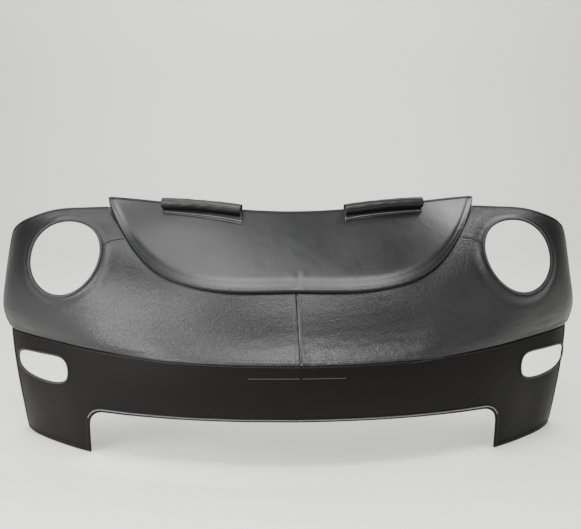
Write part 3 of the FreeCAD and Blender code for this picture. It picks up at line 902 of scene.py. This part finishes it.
def newMaterial(name, base, worn, roughness, grain, wrinkle, specular):
    # two close tones in soft patches that change the gloss too, and a fine grain under broad wrinkles
    material = bpy.data.materials.new(name)
    material.use_nodes = True
    tree = material.node_tree
    tree.nodes.clear()
    place = addNode(tree, "ShaderNodeTexCoord").outputs["Object"]
    patches = addNode(tree, "ShaderNodeTexNoise", {"Scale": 5.0, "Detail": 3.0, "Roughness": 0.55},
                      {"Vector": place})
    cells = addNode(tree, "ShaderNodeTexVoronoi", {"Scale": grain["perMetre"], "Randomness": 1.0},
                    {"Vector": place}, feature="F1")
    folds = addNode(tree, "ShaderNodeTexNoise",
                    {"Scale": wrinkle["perMetre"], "Detail": 3.0, "Roughness": 0.6, "Distortion": 1.2},
                    {"Vector": place})
    tone = addNode(tree, "ShaderNodeMix", {"A": toLinear(base), "B": toLinear(worn)},
                   {"Factor": patches.outputs["Fac"]}, data_type="RGBA")
    sheen = addNode(tree, "ShaderNodeMapRange",
                    {"From Min": 0.3, "From Max": 0.7, "To Min": roughness - 0.05, "To Max": roughness + 0.06},
                    {"Value": patches.outputs["Fac"]})
    fine = addNode(tree, "ShaderNodeBump",
                   {"Strength": grain["strength"], "Distance": grain["depth"] * millimetre},
                   {"Height": cells.outputs["Distance"]})
    coarse = addNode(tree, "ShaderNodeBump",
                     {"Strength": wrinkle["strength"], "Distance": wrinkle["depth"] * millimetre},
                     {"Height": folds.outputs["Fac"], "Normal": fine.outputs["Normal"]})
    shader = addNode(tree, "ShaderNodeBsdfPrincipled", {"IOR": 1.5, "Specular IOR Level": specular},
                     {"Base Color": tone.outputs["Result"], "Roughness": sheen.outputs["Result"],
                      "Normal": coarse.outputs["Normal"]})
    addNode(tree, "ShaderNodeOutputMaterial", None, {"Surface": shader.outputs["BSDF"]})
    return material


def pattern(perMetre, strength, depth):     # how many to a metre, and the depth in millimetres
    return {"perMetre": perMetre, "strength": strength, "depth": depth}


# the real grain, twist and knit are about 1 mm or less; the sizes below are coarser, so that they show
leatherGrain = pattern(330.0, 0.5, 0.35)     # cells 3 mm wide
flatGrain = pattern(330.0, 0.4, 0.25)        # the same cells, pressed flatter
tapeRibs = pattern(420.0, 0.7, 0.5)          # 2.4 mm apart
threadTwist = pattern(900.0, 0.5, 0.2)       # 1.1 mm apart
knitLoops = pattern(700.0, 0.8, 0.4)         # 1.4 mm wide
foamCells = pattern(500.0, 0.9, 0.6)         # 2 mm wide
edgeWrinkle = pattern(120.0, 0.2, 0.6)
threadWrinkle = pattern(200.0, 0.1, 0.3)

# embossed cloth-backed vinyl, pulled tight: soft wide highlights, broken by grain and fine wrinkles
noseVinyl = newMaterial("noseVinyl", "#101011", "#161617", 0.37, leatherGrain, pattern(120.0, 0.6, 1.9), 0.42)
# the same vinyl lying flatter: smoother highlights, with fewer wrinkles
hoodVinyl = newMaterial("hoodVinyl", "#101011", "#161617", 0.35, leatherGrain, pattern(90.0, 0.3, 0.9), 0.42)
# the same vinyl sewn round padding, with a slightly darker base colour as painted shade on the flange: one
# narrow light line along the roll
rollVinyl = newMaterial("rollVinyl", "#0e0e0f", "#151516", 0.36, leatherGrain, pattern(60.0, 0.2, 1.0), 0.36)
# the same vinyl, duller and smoother, with a darker base colour as painted shade on the forward-facing bumper:
# nearly black, with hardly a highlight
bumperVinyl = newMaterial("bumperVinyl", "#0a0a09", "#0f0e0d", 0.5, flatGrain, pattern(60.0, 0.2, 1.2), 0.1)
# vinyl folded over and pressed, with a darker base colour as painted shade along the hems, the dart and the
# hood lip: a dull dark line along the edge
shadedFoldedEdge = newMaterial("foldedEdgeVinyl", "#08080a", "#0e0e0f", 0.5, leatherGrain, edgeWrinkle, 0.22)
# woven polyester tape: matt, with a fine ribbed look
cordBinding = newMaterial("wovenBinding", "#0a0a0b", "#101011", 0.65, tapeRibs, edgeWrinkle, 0.15)
# twisted polyester thread, dyed dark: a faint row, a little paler than the vinyl
sewingThread = newMaterial("polyesterThread", "#222223", "#343435", 0.5, threadTwist, threadWrinkle, 0.5)
# grey thread wound over a binding: small light ticks round the opening
ribThread = newMaterial("overedgeThread", "#4a4a4c", "#626264", 0.5, threadTwist, threadWrinkle, 0.4)
# pale thread: a light dotted line
paleThread = newMaterial("palePolyesterThread", "#9a9a9c", "#b0b0b2", 0.5, threadTwist, threadWrinkle, 0.4)
# knitted polyester on the back of the vinyl: soft dark grey with no gloss
backing = newMaterial("knittedBacking", "#1d1d1f", "#29292b", 0.9, knitLoops, pattern(60.0, 0.2, 0.8), 0.2)
# cut closed-cell foam: dull and slightly pitted
foam = newMaterial("closedCellFoam", "#252422", "#302e2c", 0.95, foamCells, pattern(90.0, 0.2, 0.8), 0.2)

# what each piece is made of, the slot it stands for and the solids it replaces

finishes = {"noseSkin": (noseVinyl, "cover_vinyl", ["nose_panel"]),
            "fenderHem": (shadedFoldedEdge, "cover_vinyl", ["fender_hem"]),
            "noseSideHem": (shadedFoldedEdge, "cover_vinyl", ["nose_side_hem"]),
            "archHem": (bumperVinyl, "bumper_vinyl", ["arch_hem"]),
            "headlightBinding": (cordBinding, "binding", ["headlight_binding"]),
            "signalBinding": (cordBinding, "binding", ["signal_binding"]),
            "notchHem": (bumperVinyl, "bumper_vinyl", ["lower_hem"]),
            "bottomHem": (bumperVinyl, "bumper_vinyl", []),
            "dartSeam": (shadedFoldedEdge, "cover_vinyl", []),
            "seamTape": (backing, "seam_tape", []),
            "plateWelt": (sewingThread, "binding", []),
            "rollSleeve": (rollVinyl, "cover_vinyl", ["roll_sleeve"])}
stitchFinish = {"fenderHemStitches": sewingThread, "headlightRibs": ribThread, "signalRibs": ribThread,
                "notchStitches": paleThread, "crestStitches": sewingThread,
                "crestStitchesUpper": sewingThread, "crestStitchesLower": sewingThread,
                "centreStitches": sewingThread, "dartStitches": sewingThread, "rollStitches": paleThread}


def dress(piece, material, replaced=()):
    piece.data.materials.clear()
    piece.data.materials.append(material)
    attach(piece, "root")
    if replaced:
        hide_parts(*replaced)


for tail in sides:
    for name, (material, slot, nodes) in finishes.items():
        dress(objects[name + tail], material, [node + "_" + tail.lower() for node in nodes])
    for name, material in stitchFinish.items():
        dress(objects[name + tail], material)
dress(objects["bumperSkin"], bumperVinyl, ["bumper_panel_right", "bumper_panel_left"])
dress(objects["hoodSkin"], hoodVinyl, ["hood_panel"])
dress(objects["hoodRearHem"], shadedFoldedEdge, ["hood_rear_hem"])
dress(objects["hoodLipEdge"], shadedFoldedEdge)

# the cloth as it was cut: each half of the nose, the bumper and the hood piece in one length each
noseTrims = ["fenderHem", "noseSideHem", "headlightBinding", "headlightRibs", "fenderHemStitches",
             "crestStitches", "crestStitchesUpper", "centreStitches", "dartSeam", "dartStitches"]
bumperTrims = ["archHem", "signalBinding", "signalRibs", "notchHem", "notchStitches", "bottomHem",
               "crestStitchesLower", "plateWelt"]
sheets = {"noseSkin" + tail: ((1.05, 0.46), 0.25, [name + tail for name in noseTrims]) for tail in sides}
sheets["bumperSkin"] = ((2.04, 0.32), 0.378, [name + tail for name in bumperTrims for tail in sides])
sheets["hoodSkin"] = ((1.12, 0.36), 0.26, ["hoodRearHem", "hoodLipEdge"])

hiddenFinish = {"hood_facing": backing, "nose_flap": noseVinyl, "crest_seam_allowance": backing,
                "nose_seam_allowance": backing, "bumper_seam_allowance": backing, "roll_core": foam}
for name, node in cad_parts.items():
    for start, material in hiddenFinish.items():
        if name.startswith(start):
            for slot in node.material_slots:
                slot.material = material
print("materials are ready")

# camera, floor and light

view = {"place": (-0.106, -2.690, 0.670), "down": 8.6, "turn": 1.9, "lens": 66.9, "sensor": 36}
backdrop = {"half": 7, "front": -8, "back": 4.2, "radius": 1.2, "top": 3.4, "bendSteps": 12}

cameraData = bpy.data.cameras.new("camera")
camera = bpy.data.objects.new("camera", cameraData)
bpy.context.scene.collection.objects.link(camera)
camera.location = view["place"]
camera.rotation_euler = (math.radians(90 - view["down"]), 0, math.radians(-view["turn"]))
cameraData.lens = view["lens"]
cameraData.sensor_width = view["sensor"]
bpy.context.scene.camera = camera

lowest = min(cadBox[0][2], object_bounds()[0][2])
back, radius, half = backdrop["back"], backdrop["radius"], backdrop["half"]
sweep = [(backdrop["front"], lowest), (back, lowest)]
sweep += [(back + radius * math.sin(turn), lowest + radius - radius * math.cos(turn))
          for turn in np.linspace(0.15, math.pi / 2, backdrop["bendSteps"])]
sweep += [(back + radius, lowest + backdrop["top"])]
floorMesh = bpy.data.meshes.new("floor")
floorMesh.from_pydata([(x, y, z) for y, z in sweep for x in (-half, half)], [],
                      [(2 * i, 2 * i + 1, 2 * i + 3, 2 * i + 2) for i in range(len(sweep) - 1)])
for face in floorMesh.polygons:
    face.use_smooth = True
floor = bpy.data.objects.new("floor", floorMesh)
bpy.context.scene.collection.objects.link(floor)
floorPaint = bpy.data.materials.new("paleFloorPaint")     # matt emulsion: pale, with soft shadows
floorPaint.use_nodes = True
paint = floorPaint.node_tree.nodes["Principled BSDF"].inputs
paint["Base Color"].default_value = toLinear("#e9e8e6")
paint["Roughness"].default_value = 0.7
floorMesh.materials.append(floorPaint)

world = bpy.data.worlds.new("studio")
bpy.context.scene.world = world
world.use_nodes = True
sky = world.node_tree.nodes["Background"].inputs
sky["Color"].default_value = toLinear("#f2f2f4")
sky["Strength"].default_value = 0.13


def softbox(name, place, target, size, power, spread=180):
    data = bpy.data.lights.new(name, "AREA")
    data.shape = "RECTANGLE"
    data.size, data.size_y = size
    data.energy = power
    data.spread = math.radians(spread)
    light = bpy.data.objects.new(name, data)
    bpy.context.scene.collection.objects.link(light)
    light.location = place
    light.rotation_euler = (Vector(target) - Vector(place)).to_track_quat("-Z", "Y").to_euler()


softbox("lowLeft", (-2.6, -1.2, 0.5), (-0.45, 0.15, 0.1), (1.9, 1.4), 21, 75)
softbox("frontLeft", (-1.7, -1.9, 1.4), (-0.33, 0.1, 0.1), (1.2, 1.1), 12, 90)
softbox("frontAbove", (0.05, -1.4, 2.7), (0.0, 0.08, 0.12), (2.6, 1.0), 125)
softbox("overheadLeft", (-0.75, -0.05, 3.0), (-0.3, 0.15, 0.25), (1.8, 1.0), 45)
softbox("backRight", (1.75, 1.35, 2.8), (0.45, 0.32, 0.34), (1.0, 0.8), 42)
softbox("backLeft", (-2.1, 1.3, 2.6), (-0.48, 0.32, 0.34), (0.9, 0.7), 24)
softbox("frontRight", (1.3, -1.95, 1.6), (0.3, 0.1, 0.1), (1.4, 1.0), 3.8, 90)
softbox("lowRight", (2.6, -1.2, 0.5), (0.45, 0.15, 0.1), (1.6, 1.3), 2.4, 75)
softbox("backdropWash", (0.0, 2.6, 3.4), (0.0, 5.4, 0.2), (4.5, 1.5), 230)
print("stage is ready")
